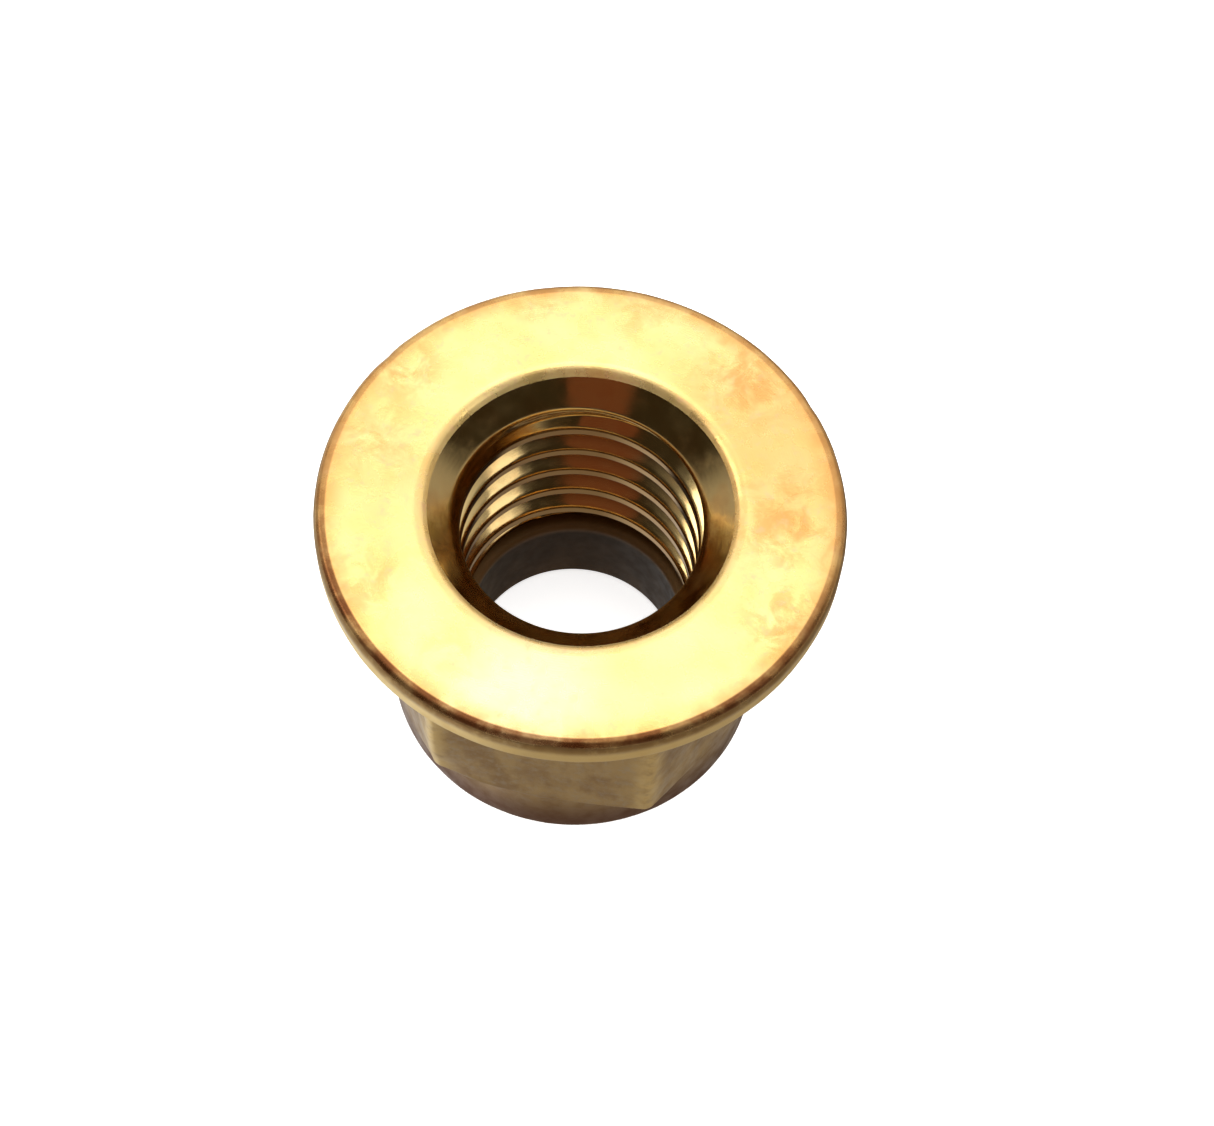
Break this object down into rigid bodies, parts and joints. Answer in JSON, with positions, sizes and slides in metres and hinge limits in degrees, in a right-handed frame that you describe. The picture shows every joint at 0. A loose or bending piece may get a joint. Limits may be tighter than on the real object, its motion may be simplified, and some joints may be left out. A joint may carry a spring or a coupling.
{
  "type": "flange lock nut",
  "caption": "Brass flanged hexagon lock nut with a countersunk internal thread and a polymer locking ring crimped into its collar.",
  "frame": {"origin": "centre of the collar's end, on the thread's axis, which is the lowest point of the nut as it stands on its collar", "axes": "+Z along the thread's axis and out of the flange's bearing face; +X through a corner of the hexagon, so that two flats face +Y and -Y"},
  "size_m": [0.0224, 0.0224, 0.0153],
  "materials": {
    "brass": "bright golden brass, satin, lightly tarnished",
    "polymer": "smooth dark brown-grey polymer"
  },
  "bodies": {
    "root": {"nut_body": "brass", "locking_ring": "polymer"}
  },
  "joints": []
}
